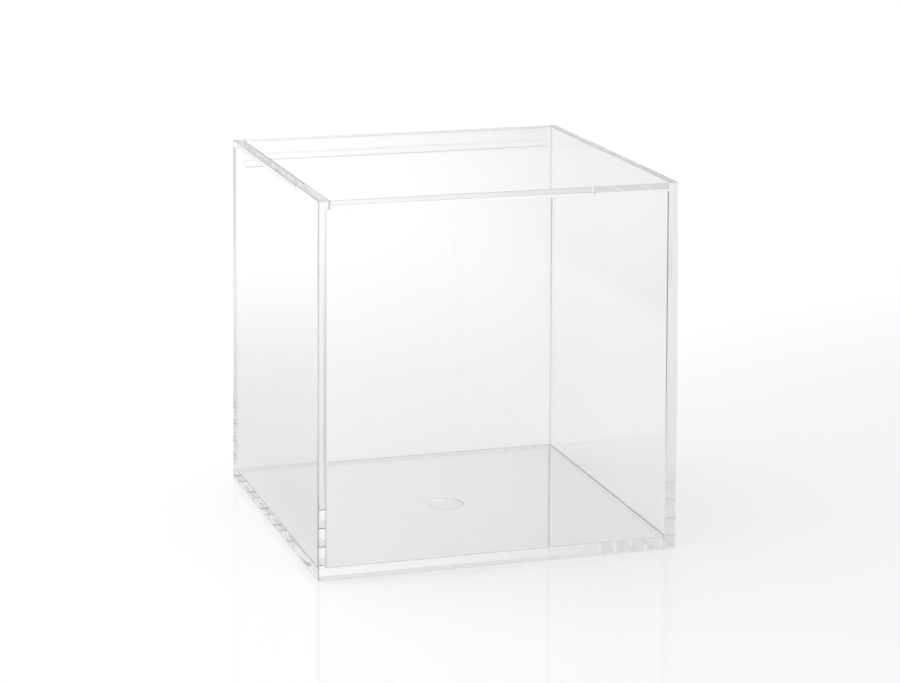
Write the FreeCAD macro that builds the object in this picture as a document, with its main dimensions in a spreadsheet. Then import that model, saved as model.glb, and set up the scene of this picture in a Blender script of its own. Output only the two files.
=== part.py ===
import FreeCAD, Part
import os

import Sketcher

# Clear square display box: a five-sided moulding with a flush lift-off lid.
# +X runs to the right across the front wall, the front wall faces -Y and +Z is up.
# The origin is the centre of the underside. Lengths are in millimetres.

# Every size that drives the model: alias, value, meaning.
DRIVING_DIMENSIONS = [
    ("side", 101.6, "outside length, width and height of the closed box"),
    ("wall", 2.4, "thickness of the four walls"),
    ("floor_thickness", 2.7, "thickness of the floor"),
    ("outer_corner", 0.3, "radius of the four upright outside edges"),
    ("inner_corner", 0.6, "radius of the four upright inside corners"),
    ("floor_corner", 0.25, "radius where the walls meet the floor inside"),
    ("base_edge", 0.25, "radius round the underside"),
    ("rim_edge", 0.12, "radius along the top edges of the two tall walls"),
    ("gate_diameter", 10.0, "round recess under the floor, where the moulding was fed"),
    ("gate_depth", 0.5, "depth of the gate recess"),
    ("gate_edge", 0.2, "radius in the gate recess, where it meets the floor"),
    ("nub_diameter", 1.8, "cut sprue stub in the middle of the gate recess"),
    ("nub_height", 0.3, "height of the stub, short of the resting plane"),
    ("lid_thickness", 2.25, "thickness of the lid plate"),
    ("lid_float", 0.04, "air left between the lid plate and the walls it lies on"),
    ("lid_gap_left", 0.5, "clearance between the lid and the left wall"),
    ("lid_gap_right", 0.05, "clearance between the lid and the right wall"),
    ("lid_corner", 0.5, "radius of the lid plate's corners in plan"),
    ("lid_edge", 0.12, "radius round the lid plate's top"),
    ("flange_inset", 1.8, "how far the flange stops short of the plate's left and right ends"),
    ("flange_clearance", 0.25, "air between the flange and the back wall"),
    ("flange_depth", 5.7, "height of the flange below the lid plate, with its bead"),
    ("flange_wall", 1.2, "thickness of the flange"),
    ("bead_diameter", 2.4, "round bead along the flange's lower edge"),
]

# Size that a sketch is drawn at before its constraints take the sheet's values.
DRAFT_HALF = 10.0
DRAFT_RADIUS = 1.0
# How near a coordinate must be to count as lying on a plane.
NEAR = 1e-4
# Ends of a sketch element, and the sketch's own origin, in Sketcher's numbering.
START, END, CENTRE = 1, 2, 3
SKETCH_ORIGIN = (-1, 1)

os.makedirs("parts", exist_ok=True)
document = FreeCAD.newDocument("display_box")


def make_sheet():
    """A spreadsheet of the driving dimensions: name, value and meaning in each row."""
    made = document.addObject("Spreadsheet::Sheet", "sizes")
    for row, (alias, value, meaning) in enumerate(DRIVING_DIMENSIONS, start=1):
        made.set("A%d" % row, alias)
        made.set("B%d" % row, str(value))
        made.set("C%d" % row, meaning)
        made.setAlias("B%d" % row, alias)
    document.recompute()
    return made


sheet = make_sheet()


def size(alias):
    return float(sheet.get(alias))


# Sizes that several features share, as formulas in the sheet's cells.
MOUTH = "(sizes.side - 2 * sizes.wall)"
LID_WIDTH = "(%s - sizes.lid_gap_left - sizes.lid_gap_right)" % MOUTH
FLANGE_WIDTH = "(%s - 2 * sizes.flange_inset)" % LID_WIDTH
# Where the flange's back face lies, measured back from the middle of the box.
FLANGE_BACK = "(sizes.side / 2 - sizes.wall - sizes.flange_clearance)"


def new_body(name):
    body = document.addObject("PartDesign::Body", name)
    body.Label = name
    return body


def new_sketch(body, name, role="XY_Plane", lift=None, slide=None, rise=None):
    """A sketch on one of the body's origin planes.

    lift moves it along the plane's normal, slide along its first axis and rise along its second.
    """
    sketch = body.newObject("Sketcher::SketchObject", name)
    plane = next(item for item in body.Origin.OriginFeatures if item.Role == role)
    sketch.AttachmentSupport = (plane, "")
    sketch.MapMode = "FlatFace"
    for axis, offset in (("x", slide), ("y", rise), ("z", lift)):
        if offset:
            sketch.setExpression("AttachmentOffset.Base." + axis, offset)
    return sketch


def constrain(sketch, *details):
    return sketch.addConstraint(Sketcher.Constraint(*details))


def constrain_size(sketch, label, formula, *details):
    """A named size in the sketch, bound to a formula."""
    index = constrain(sketch, *details)
    sketch.renameConstraint(index, label)
    sketch.setExpression("Constraints.%s" % label, formula)


def draw_circle(sketch, diameter):
    """A circle round the sketch's origin."""
    up = FreeCAD.Vector(0, 0, 1)
    circle = sketch.addGeometry(Part.Circle(FreeCAD.Vector(), up, DRAFT_RADIUS))
    constrain(sketch, "Coincident", circle, CENTRE, *SKETCH_ORIGIN)
    constrain_size(sketch, "across", diameter, "Diameter", circle, 2 * DRAFT_RADIUS)


def draw_rectangle(sketch, width, height):
    """A rectangle centred on the sketch's origin."""
    half = DRAFT_HALF
    places = ((-half, -half), (half, -half), (half, half), (-half, half))
    corners = [FreeCAD.Vector(x, y, 0) for x, y in places]
    sides = [
        sketch.addGeometry(Part.LineSegment(corners[i - 1], corners[i])) for i in (1, 2, 3, 0)
    ]
    for i, line in enumerate(sides):
        constrain(sketch, "Coincident", sides[i - 1], END, line, START)
        constrain(sketch, "Vertical" if i % 2 else "Horizontal", line)
    constrain(sketch, "Symmetric", sides[0], START, sides[2], START, *SKETCH_ORIGIN)
    constrain_size(sketch, "width", width, "DistanceX", sides[0], START, sides[0], END, 2 * half)
    constrain_size(sketch, "height", height, "DistanceY", sides[1], START, sides[1], END, 2 * half)


def draw_rounded_rectangle(sketch, label, width, length, radius):
    """A rectangle with round corners, centred on the sketch's origin and drawn anticlockwise."""
    half, r = DRAFT_HALF, DRAFT_RADIUS
    up = FreeCAD.Vector(0, 0, 1)
    quarter = FreeCAD.Rotation(up, 90)
    turn = FreeCAD.Rotation()
    sides, rounds = [], []
    for i in range(4):
        near_end = turn.multVec(FreeCAD.Vector(half - r, -half, 0))
        far_end = turn.multVec(FreeCAD.Vector(r - half, -half, 0))
        middle = turn.multVec(FreeCAD.Vector(half - r, r - half, 0))
        sides.append(sketch.addGeometry(Part.LineSegment(far_end, near_end)))
        circle = Part.Circle(middle, up, r)
        begin = circle.parameter(near_end)
        finish = circle.parameter(turn.multVec(FreeCAD.Vector(half, r - half, 0)))
        rounds.append(sketch.addGeometry(Part.ArcOfCircle(circle, begin, finish)))
        turn = turn.multiply(quarter)
    for i in range(4):
        constrain(sketch, "Tangent", sides[i], END, rounds[i], START)
        constrain(sketch, "Tangent", rounds[i - 1], END, sides[i], START)
        constrain(sketch, "Vertical" if i % 2 else "Horizontal", sides[i])
        if i:
            constrain(sketch, "Equal", rounds[0], rounds[i])
    constrain(sketch, "Symmetric", rounds[0], CENTRE, rounds[2], CENTRE, *SKETCH_ORIGIN)
    constrain_size(sketch, label + "_radius", radius, "Radius", rounds[0], r)
    constrain_size(
        sketch, label + "_width", width, "DistanceX", sides[3], START, sides[1], START, 2 * half,
    )
    constrain_size(
        sketch, label + "_length", length, "DistanceY", sides[0], START, sides[2], START, 2 * half,
    )


def pad(body, sketch, name, length, downward=False, both_ways=False):
    feature = body.newObject("PartDesign::Pad", name)
    feature.Profile = sketch
    feature.setExpression("Length", length)
    feature.Reversed = downward
    feature.Midplane = both_ways
    document.recompute()
    return feature


def pocket(body, sketch, name, depth=None, upward=False, both_ways=False):
    """Cut away the sketch's outline, through everything if it has no depth, and prove that it cuts."""
    before = body.Shape.Volume
    feature = body.newObject("PartDesign::Pocket", name)
    feature.Profile = sketch
    if depth:
        feature.setExpression("Length", depth)
    else:
        feature.Type = "ThroughAll"
    feature.Reversed = upward
    feature.Midplane = both_ways
    document.recompute()
    if body.Shape.Volume > before - NEAR:
        raise RuntimeError("%s cuts nothing" % name)
    return feature


def edges_where(body, chosen):
    """Names of the edges of the body's last feature whose box passes the test."""
    shape = body.Tip.Shape
    return ["Edge%d" % (i + 1) for i, edge in enumerate(shape.Edges) if chosen(edge.BoundBox)]


def round_edges(body, name, radius, chosen):
    """Round the chosen edges of the body's last feature."""
    edges = edges_where(body, chosen)
    if not edges:
        raise RuntimeError("%s finds no edges" % name)
    base = body.Tip
    feature = body.newObject("PartDesign::Fillet", name)
    feature.Base = (base, edges)
    feature.setExpression("Radius", radius)
    document.recompute()
    return feature


def at_height(box, height):
    return abs(box.ZMin - height) < NEAR and abs(box.ZMax - height) < NEAR


def reach(box):
    """How far the edge gets from the middle of the part, across or along."""
    return max(abs(box.XMin), abs(box.XMax), abs(box.YMin), abs(box.YMax))


def make_box_body():
    """Floor and four walls in one piece, with the front and back walls lowered to seat the lid."""
    body = new_body("box_body")
    half_side = size("side") / 2
    half_mouth = half_side - size("wall")

    outline = new_sketch(body, "outline")
    draw_rounded_rectangle(outline, "outline", "sizes.side", "sizes.side", "sizes.outer_corner")
    pad(body, outline, "block", "sizes.side")

    hollow = new_sketch(body, "hollow_outline", lift="sizes.floor_thickness")
    draw_rounded_rectangle(hollow, "hollow", MOUTH, MOUTH, "sizes.inner_corner")
    pocket(body, hollow, "hollow", upward=True)

    seat = new_sketch(body, "lid_seat_outline", role="XZ_Plane", rise="sizes.side")
    draw_rectangle(seat, MOUTH, "2 * (sizes.lid_thickness + sizes.lid_float)")
    pocket(body, seat, "lid_seat", both_ways=True)

    gate = new_sketch(body, "gate_outline")
    draw_circle(gate, "sizes.gate_diameter")
    pocket(body, gate, "gate_recess", depth="sizes.gate_depth", upward=True)

    nub = new_sketch(body, "nub_outline", lift="sizes.gate_depth - sizes.nub_height")
    draw_circle(nub, "sizes.nub_diameter")
    pad(body, nub, "gate_nub", "sizes.nub_height")

    round_edges(
        body, "floor_round", "sizes.floor_corner",
        lambda box: at_height(box, size("floor_thickness")) and reach(box) < half_side - NEAR,
    )
    round_edges(
        body, "base_round", "sizes.base_edge",
        lambda box: at_height(box, 0) and reach(box) > half_mouth,
    )
    round_edges(
        body, "gate_round", "sizes.gate_edge",
        lambda box: at_height(box, size("gate_depth")) and box.XLength > size("nub_diameter") + NEAR,
    )
    round_edges(
        body, "rim_round", "sizes.rim_edge",
        lambda box: at_height(box, size("side")),
    )
    return body


def make_lid():
    """Flat plate flush between the tall walls, with a beaded flange that hangs inside the back wall."""
    body = new_body("lid")

    plate = new_sketch(body, "plate_outline")
    draw_rounded_rectangle(plate, "plate", LID_WIDTH, "sizes.side", "sizes.lid_corner")
    pad(body, plate, "plate", "sizes.lid_thickness")

    flange = new_sketch(body, "flange_outline", rise=FLANGE_BACK + " - sizes.flange_wall / 2")
    draw_rectangle(flange, FLANGE_WIDTH, "sizes.flange_wall")
    pad(body, flange, "flange", "sizes.flange_depth - sizes.bead_diameter / 2", downward=True)

    bead = new_sketch(
        body, "bead_outline", role="YZ_Plane",
        slide=FLANGE_BACK + " - sizes.bead_diameter / 2",
        rise="sizes.bead_diameter / 2 - sizes.flange_depth",
    )
    draw_circle(bead, "sizes.bead_diameter")
    pad(body, bead, "bead", FLANGE_WIDTH, both_ways=True)

    round_edges(
        body, "plate_round", "sizes.lid_edge",
        lambda box: at_height(box, size("lid_thickness")),
    )

    # The lid lies against the right wall, so it sits off centre by half the difference of its gaps.
    body.setExpression("Placement.Base.x", "(sizes.lid_gap_left - sizes.lid_gap_right) / 2")
    body.setExpression("Placement.Base.z", "sizes.side - sizes.lid_thickness")
    document.recompute()
    return body


def check(bodies):
    """Stop before anything is written if any object failed or any solid is bad."""
    for item in document.Objects:
        if "Invalid" in item.State or "Error" in item.State:
            raise RuntimeError("%s is in state %s" % (item.Name, item.State))
        if item.isDerivedFrom("Sketcher::SketchObject") and item.solve() != 0:
            raise RuntimeError("%s does not solve" % item.Name)
    for body in bodies:
        shape = body.Shape
        if shape.isNull() or not shape.isValid() or len(shape.Solids) != 1:
            raise RuntimeError("%s is not one valid solid" % body.Label)


def export(bodies):
    for body in bodies:
        body.Shape.exportStep("parts/%s.step" % body.Label)


pieces = [make_box_body(), make_lid()]
document.recompute()
check(pieces)
export(pieces)
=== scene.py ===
import math

import bpy
from mathutils import Matrix, Vector


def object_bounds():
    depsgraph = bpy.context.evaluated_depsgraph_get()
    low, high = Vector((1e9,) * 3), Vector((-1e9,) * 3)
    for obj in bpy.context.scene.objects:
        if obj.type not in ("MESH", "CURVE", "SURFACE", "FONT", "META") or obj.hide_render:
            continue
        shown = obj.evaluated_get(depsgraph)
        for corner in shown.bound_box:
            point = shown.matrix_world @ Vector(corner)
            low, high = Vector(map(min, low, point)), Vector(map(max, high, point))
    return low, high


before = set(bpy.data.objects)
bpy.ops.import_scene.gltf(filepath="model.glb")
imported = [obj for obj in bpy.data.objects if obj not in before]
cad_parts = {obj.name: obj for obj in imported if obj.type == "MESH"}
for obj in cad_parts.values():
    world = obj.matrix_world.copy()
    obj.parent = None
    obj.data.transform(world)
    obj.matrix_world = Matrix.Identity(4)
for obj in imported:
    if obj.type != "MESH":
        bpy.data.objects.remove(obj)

# Clear display box on a pale, lit shooting table. Metres, in the frame of the CAD part.
# Distances round the object are written as multiples of SIDE, the box's outside size.
CAD_LOW, CAD_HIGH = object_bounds()
SIDE = CAD_HIGH.z - CAD_LOW.z

# Refractive index of clear polystyrene.
PLASTIC_IOR = 1.59
# How much light is left after crossing one surface: a trace of cool tint.
PLASTIC_TINT = (0.996, 0.998, 1.0, 1.0)
# Light lost inside the plastic: per metre, the density times what the tint lacks of white.
DEPTH_TINT = (0.90, 0.905, 0.91, 1.0)
BODY_DENSITY, LID_DENSITY = 10.0, 4.5
# Moulding waves: their noise, how strong they are, and how deep in metres.
WAVES = {"Scale": 28.0, "Detail": 2.0, "Roughness": 0.45}
WAVES_STRENGTH, WAVES_DEPTH = 0.05, 0.0004

# A fade is a span, and the levels at its two ends. Outside the span the level stays the same.
# Handling haze: its noise, and how rough the surface gets where the noise is strong.
HAZE = {"Scale": 60.0, "Detail": 4.0, "Roughness": 0.6}
HAZE_ROUGHNESS = (0.45, 0.75), (0.0, 0.012)

# Light that the table gives off from beneath, and the share of light from above that it scatters.
TABLE_GLOW = 0.595
TABLE_ALBEDO = 0.3
# Extra glow of the table and the backdrop, seen only where the camera looks straight at them. On the
# table it is painted light, weaker near the box and full far behind it.
NEAR_BOOST, DIRECT_BOOST = 0.1, 0.52
GLOW_SEEN = (0.4 * SIDE, 5 * SIDE), (TABLE_GLOW + NEAR_BOOST, TABLE_GLOW + DIRECT_BOOST)
# What the box's own faces see of the table: brighter behind, and most so behind on the left.
BEHIND = 1 * SIDE, 5 * SIDE
GLOW_BEHIND = BEHIND, (0.0, 0.2)
GLOW_LEFT = (3 * SIDE, -1 * SIDE), (0.0, 0.14)
GLOW_LEFT_SHARE = BEHIND, (0.0, 1.0)
# Darker on the left of the box, and less so far behind it.
GLOW_BESIDE = (-0.42 * SIDE, -0.62 * SIDE), (0.0, -0.275)
GLOW_BESIDE_SHARE = BEHIND, (1.0, 0.4)
# A little brighter past the right wall. The line of sight along it goes this far right per metre back.
SIGHT_SLOPE = 0.39
GLOW_RIGHT = (0.3 * SIDE, 0.55 * SIDE), (TABLE_GLOW, TABLE_GLOW + 0.055)
# The share of the table's light that is left far in front, and far to the right.
LIT_IN_FRONT = (-1 * SIDE, -3 * SIDE), (1.0, 0.8)
LIT_ON_RIGHT = (0.9 * SIDE, 2.6 * SIDE), (1.0, 0.12)
# The table's soft mirror image of the box.
TABLE_ROUGHNESS = 0.03
TABLE_IOR = 1.45
TABLE_REACH = 60 * SIDE
# The table lies this far under the resting face, so that the two surfaces never coincide.
TABLE_DROP = 0.0001

# The light tent, as fades over the X, Y or Z of the direction that is looked in.
TENT_FRONT_TO_BACK = (-0.9, 0.3), (0.95, 1.0)
TENT_LEFT_TO_RIGHT = (0.2, 0.42), (1.33, 0.95)
TENT_RIGHT_STEP = (0.305, 0.34), (1.0, 0.96)
TENT_RIGHT_SIDE = (0.35, 0.8), (0.0, -0.65)
# A grey card behind on the left, which shades the ends of the box's front edges.
CARD_ACROSS = (-0.26, -0.33), (0.0, -0.28)
CARD_ALONG = (0.7, 0.8), (0.0, 1.0)
# A dimmer ceiling, which draws the dark lines along rounded edges.
CEILING = (0.36, 0.5), (0.0, -0.85)

# The lamp: its size and place in SIDEs, and its power in watts.
LAMP_SIZE = 10
LAMP_PLACE = (-5, 2, 12)
LAMP_POWER = 4.0

# Camera: where it stands (in SIDEs), how it is turned, and its lens.
CAMERA_PLACE = (-2.2885, -7.4033, 2.3566)
CAMERA_YAW, CAMERA_PITCH, CAMERA_ROLL = -17.221, 4.387, 0.249
FOCAL_LENGTH, FILM_WIDTH = 111.8, 36.0
FILM_SHIFT = -0.503
# What is set up for the camera's own place fades out within this distance of it, in metres.
HOLD_DISTANCE = 0.03

# The whole of a light-piping path has to be followed, or edges turn black.
MOST_BOUNCES = 256


class Nodes:
    """Short spelling for building a node tree."""

    def __init__(self, tree):
        self.tree = tree
        tree.nodes.clear()

    def add(self, kind, settings=None, **inputs):
        """A node with its settings, and its inputs by name (underscores for spaces), as values or
        sockets."""
        node = self.tree.nodes.new(kind)
        for name, value in (settings or {}).items():
            setattr(node, name, value)
        for name, value in inputs.items():
            self.feed(node.inputs[name.replace("_", " ")], value)
        return node

    def feed(self, socket, value):
        if isinstance(value, bpy.types.NodeSocket):
            self.tree.links.new(value, socket)
        else:
            socket.default_value = value

    def math(self, operation, *values):
        node = self.tree.nodes.new("ShaderNodeMath")
        node.operation = operation
        for socket, value in zip(node.inputs, values):
            self.feed(socket, value)
        return node.outputs[0]

    def fade(self, value, span, levels):
        """Goes smoothly from the first level to the second while the value crosses the span."""
        node = self.tree.nodes.new("ShaderNodeMapRange")
        node.interpolation_type = "SMOOTHSTEP"
        for socket, setting in zip(node.inputs, (value, *span, *levels)):
            self.feed(socket, setting)
        return node.outputs[0]

    def mix_shaders(self, share, first, second=None):
        """The share of the second shader, over the first. Without a second one, black."""
        node = self.tree.nodes.new("ShaderNodeMixShader")
        self.feed(node.inputs[0], share)
        self.feed(node.inputs[1], first.outputs[0])
        if second:
            self.feed(node.inputs[2], second.outputs[0])
        return node


def new_material(name):
    material = bpy.data.materials.new(name)
    material.use_nodes = True
    return material, Nodes(material.node_tree)


def drive_from_home(item, setting, at_home_value):
    """The setting has this value with the camera at its own place, and 0 once it is put elsewhere."""
    curve = item.driver_add(setting)
    for modifier in list(curve.modifiers):
        curve.modifiers.remove(modifier)
    curve.driver.type = "AVERAGE"
    distance = curve.driver.variables.new()
    distance.type = "LOC_DIFF"
    for target, name in zip(distance.targets, ("camera", "camera_place")):
        target.id = bpy.data.objects[name]
    for away, value in ((0.0, at_home_value), (HOLD_DISTANCE, 0.0)):
        curve.keyframe_points.insert(away, value).interpolation = "LINEAR"


def at_home(nodes):
    """1 in a node tree while the camera stands at its own place, 0 once it is put elsewhere."""
    value = nodes.add("ShaderNodeValue").outputs[0]
    drive_from_home(value, "default_value", 1.0)
    return value


def add_camera():
    """A shift-lens view: almost level, so uprights stay upright, with the film moved down instead."""
    data = bpy.data.cameras.new("camera")
    data.sensor_width = FILM_WIDTH
    data.lens = FOCAL_LENGTH
    data.shift_y = FILM_SHIFT
    data.clip_end = 2 * TABLE_REACH
    camera = bpy.data.objects.new("camera", data)
    bpy.context.scene.collection.objects.link(camera)
    turn = (
        Matrix.Rotation(math.radians(CAMERA_YAW), 4, "Z")
        @ Matrix.Rotation(math.radians(90 - CAMERA_PITCH), 4, "X")
        @ Matrix.Rotation(math.radians(CAMERA_ROLL), 4, "Z")
    )
    camera.matrix_world = Matrix.Translation(Vector(CAMERA_PLACE) * SIDE) @ turn
    bpy.context.scene.camera = camera
    home = bpy.data.objects.new("camera_place", None)
    home.location = camera.location
    bpy.context.scene.collection.objects.link(home)
    drive_from_home(data, "shift_y", FILM_SHIFT)


def clear_plastic(name, seed, density):
    """Clear moulding: glassy, with the faint waves of a moulded surface and a little handling haze."""
    material, nodes = new_material(name)
    place = nodes.add("ShaderNodeTexCoord").outputs["Object"]
    offset = nodes.add("ShaderNodeMapping", Vector=place, Location=(seed, seed, seed)).outputs[0]
    waves = nodes.add("ShaderNodeTexNoise", Vector=offset, **WAVES)
    haze = nodes.add("ShaderNodeTexNoise", Vector=offset, **HAZE)
    relief = nodes.add(
        "ShaderNodeBump", Strength=WAVES_STRENGTH, Distance=WAVES_DEPTH, Height=waves.outputs[0],
    )
    surface = nodes.add(
        "ShaderNodeBsdfPrincipled", Base_Color=PLASTIC_TINT, IOR=PLASTIC_IOR,
        Roughness=nodes.fade(haze.outputs[0], *HAZE_ROUGHNESS), Transmission_Weight=1.0,
        Normal=relief.outputs[0],
    )
    depth = nodes.add("ShaderNodeVolumeAbsorption", Color=DEPTH_TINT, Density=density)
    nodes.add("ShaderNodeOutputMaterial", Surface=surface.outputs[0], Volume=depth.outputs[0])
    return material


def table_glow(nodes, across, along, direct):
    """How brightly the table shines at a place, for the camera itself and for the box's faces."""
    behind = nodes.fade(along, *GLOW_BEHIND)
    left = nodes.math("MULTIPLY", nodes.fade(across, *GLOW_LEFT), nodes.fade(along, *GLOW_LEFT_SHARE))
    beside = nodes.math(
        "MULTIPLY", nodes.fade(across, *GLOW_BESIDE), nodes.fade(along, *GLOW_BESIDE_SHARE),
    )
    past_wall = nodes.math("MULTIPLY_ADD", along, -SIGHT_SLOPE, across)
    right = nodes.fade(past_wall, *GLOW_RIGHT)
    glow = nodes.math("ADD", nodes.math("ADD", behind, left), nodes.math("ADD", beside, right))
    seen = nodes.fade(along, *GLOW_SEEN)
    return nodes.add("ShaderNodeMix", {"data_type": "FLOAT"}, Factor=direct, A=glow, B=seen).outputs[0]


def table_darkness(nodes, across, along, direct):
    """The share of the table's light that is missing, far in front and far to the right. Only the
    box's own faces see it, and only with the camera at its own place."""
    sideways = nodes.math("SUBTRACT", across, nodes.math("MAXIMUM", along, 0.0))
    lit = nodes.math("MULTIPLY", nodes.fade(along, *LIT_IN_FRONT), nodes.fade(sideways, *LIT_ON_RIGHT))
    indirect = nodes.math("SUBTRACT", 1.0, direct)
    dark = nodes.math("MULTIPLY", indirect, nodes.math("SUBTRACT", 1.0, lit))
    return nodes.math("MULTIPLY", dark, at_home(nodes))


def table_material():
    """White translucent table: lit from beneath and above, with a soft shine."""
    material, nodes = new_material("table")
    position = nodes.add("ShaderNodeNewGeometry").outputs["Position"]
    place = nodes.add("ShaderNodeSeparateXYZ", Vector=position)
    across, along = place.outputs["X"], place.outputs["Y"]
    direct = nodes.add("ShaderNodeLightPath").outputs["Is Camera Ray"]
    white = (1.0, 1.0, 1.0, 1.0)
    grey = (TABLE_ALBEDO, TABLE_ALBEDO, TABLE_ALBEDO, 1.0)
    glow = table_glow(nodes, across, along, direct)
    emission = nodes.add("ShaderNodeEmission", Color=white, Strength=glow)
    diffuse = nodes.add("ShaderNodeBsdfDiffuse", Color=grey)
    both = nodes.add("ShaderNodeAddShader")
    nodes.feed(both.inputs[0], emission.outputs[0])
    nodes.feed(both.inputs[1], diffuse.outputs[0])
    shine = nodes.add("ShaderNodeBsdfGlossy", Color=white, Roughness=TABLE_ROUGHNESS)
    shine_share = nodes.add("ShaderNodeFresnel", IOR=TABLE_IOR).outputs[0]
    shiny = nodes.mix_shaders(shine_share, both, shine)
    surface = nodes.mix_shaders(table_darkness(nodes, across, along, direct), shiny)
    nodes.add("ShaderNodeOutputMaterial", Surface=surface.outputs[0])
    return material


def add_table():
    mesh = bpy.data.meshes.new("table")
    corners = [
        (x * TABLE_REACH, y * TABLE_REACH, -TABLE_DROP)
        for x, y in ((-1, -1), (1, -1), (1, 1), (-1, 1))
    ]
    mesh.from_pydata(corners, [], [(0, 1, 2, 3)])
    table = bpy.data.objects.new("table", mesh)
    bpy.context.scene.collection.objects.link(table)
    mesh.materials.append(table_material())


def add_world():
    """A light tent: brightest on the left, a little dimmer in front and overhead, and with the camera
    at its own place much dimmer far to the right."""
    world = bpy.data.worlds.new("studio")
    bpy.context.scene.world = world
    world.use_nodes = True
    nodes = Nodes(world.node_tree)
    direction = nodes.add("ShaderNodeTexCoord").outputs["Generated"]
    split = nodes.add("ShaderNodeSeparateXYZ", Vector=direction)
    across, along = split.outputs["X"], split.outputs["Y"]
    level = nodes.math(
        "MULTIPLY", nodes.fade(along, *TENT_FRONT_TO_BACK), nodes.fade(across, *TENT_LEFT_TO_RIGHT),
    )
    right_side = nodes.math(
        "MULTIPLY_ADD", nodes.fade(across, *TENT_RIGHT_SIDE), at_home(nodes),
        nodes.fade(across, *TENT_RIGHT_STEP),
    )
    level = nodes.math("MULTIPLY", level, right_side)
    card = nodes.math("MULTIPLY", nodes.fade(across, *CARD_ACROSS), nodes.fade(along, *CARD_ALONG))
    level = nodes.math("MULTIPLY_ADD", level, card, level)
    # The ceiling is dim for what the clear pieces bend or mirror, and still lights the table.
    ray = nodes.add("ShaderNodeLightPath").outputs
    clear = nodes.math("SUBTRACT", 1.0, ray["Is Diffuse Ray"])
    ceiling = nodes.math("MULTIPLY", nodes.fade(split.outputs["Z"], *CEILING), clear)
    level = nodes.math("MULTIPLY_ADD", level, ceiling, level)
    level = nodes.math("MULTIPLY_ADD", ray["Is Camera Ray"], DIRECT_BOOST, level)
    background = nodes.add("ShaderNodeBackground", Strength=level)
    nodes.add("ShaderNodeOutputWorld", Surface=background.outputs[0])


def add_lamp():
    """One large soft box above and to the left. Its mirror image is kept out of the clear faces."""
    data = bpy.data.lights.new("soft_box", "AREA")
    data.shape = "SQUARE"
    data.size = LAMP_SIZE * SIDE
    data.energy = LAMP_POWER
    lamp = bpy.data.objects.new("soft_box", data)
    bpy.context.scene.collection.objects.link(lamp)
    lamp.location = Vector(LAMP_PLACE) * SIDE
    lamp.visible_glossy = False
    lamp.rotation_mode = "QUATERNION"
    lamp.rotation_quaternion = lamp.location.to_track_quat("Z", "Y")


for seed, (node, density) in enumerate((("box_body", BODY_DENSITY), ("lid", LID_DENSITY))):
    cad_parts[node].material_slots[0].material = clear_plastic(node + "_clear", seed, density)

add_camera()
add_table()
add_world()
add_lamp()

scene = bpy.context.scene
scene.view_settings.view_transform = "Standard"
scene.cycles.max_bounces = MOST_BOUNCES
scene.cycles.transmission_bounces = MOST_BOUNCES
scene.cycles.glossy_bounces = MOST_BOUNCES
scene.cycles.use_denoising = True
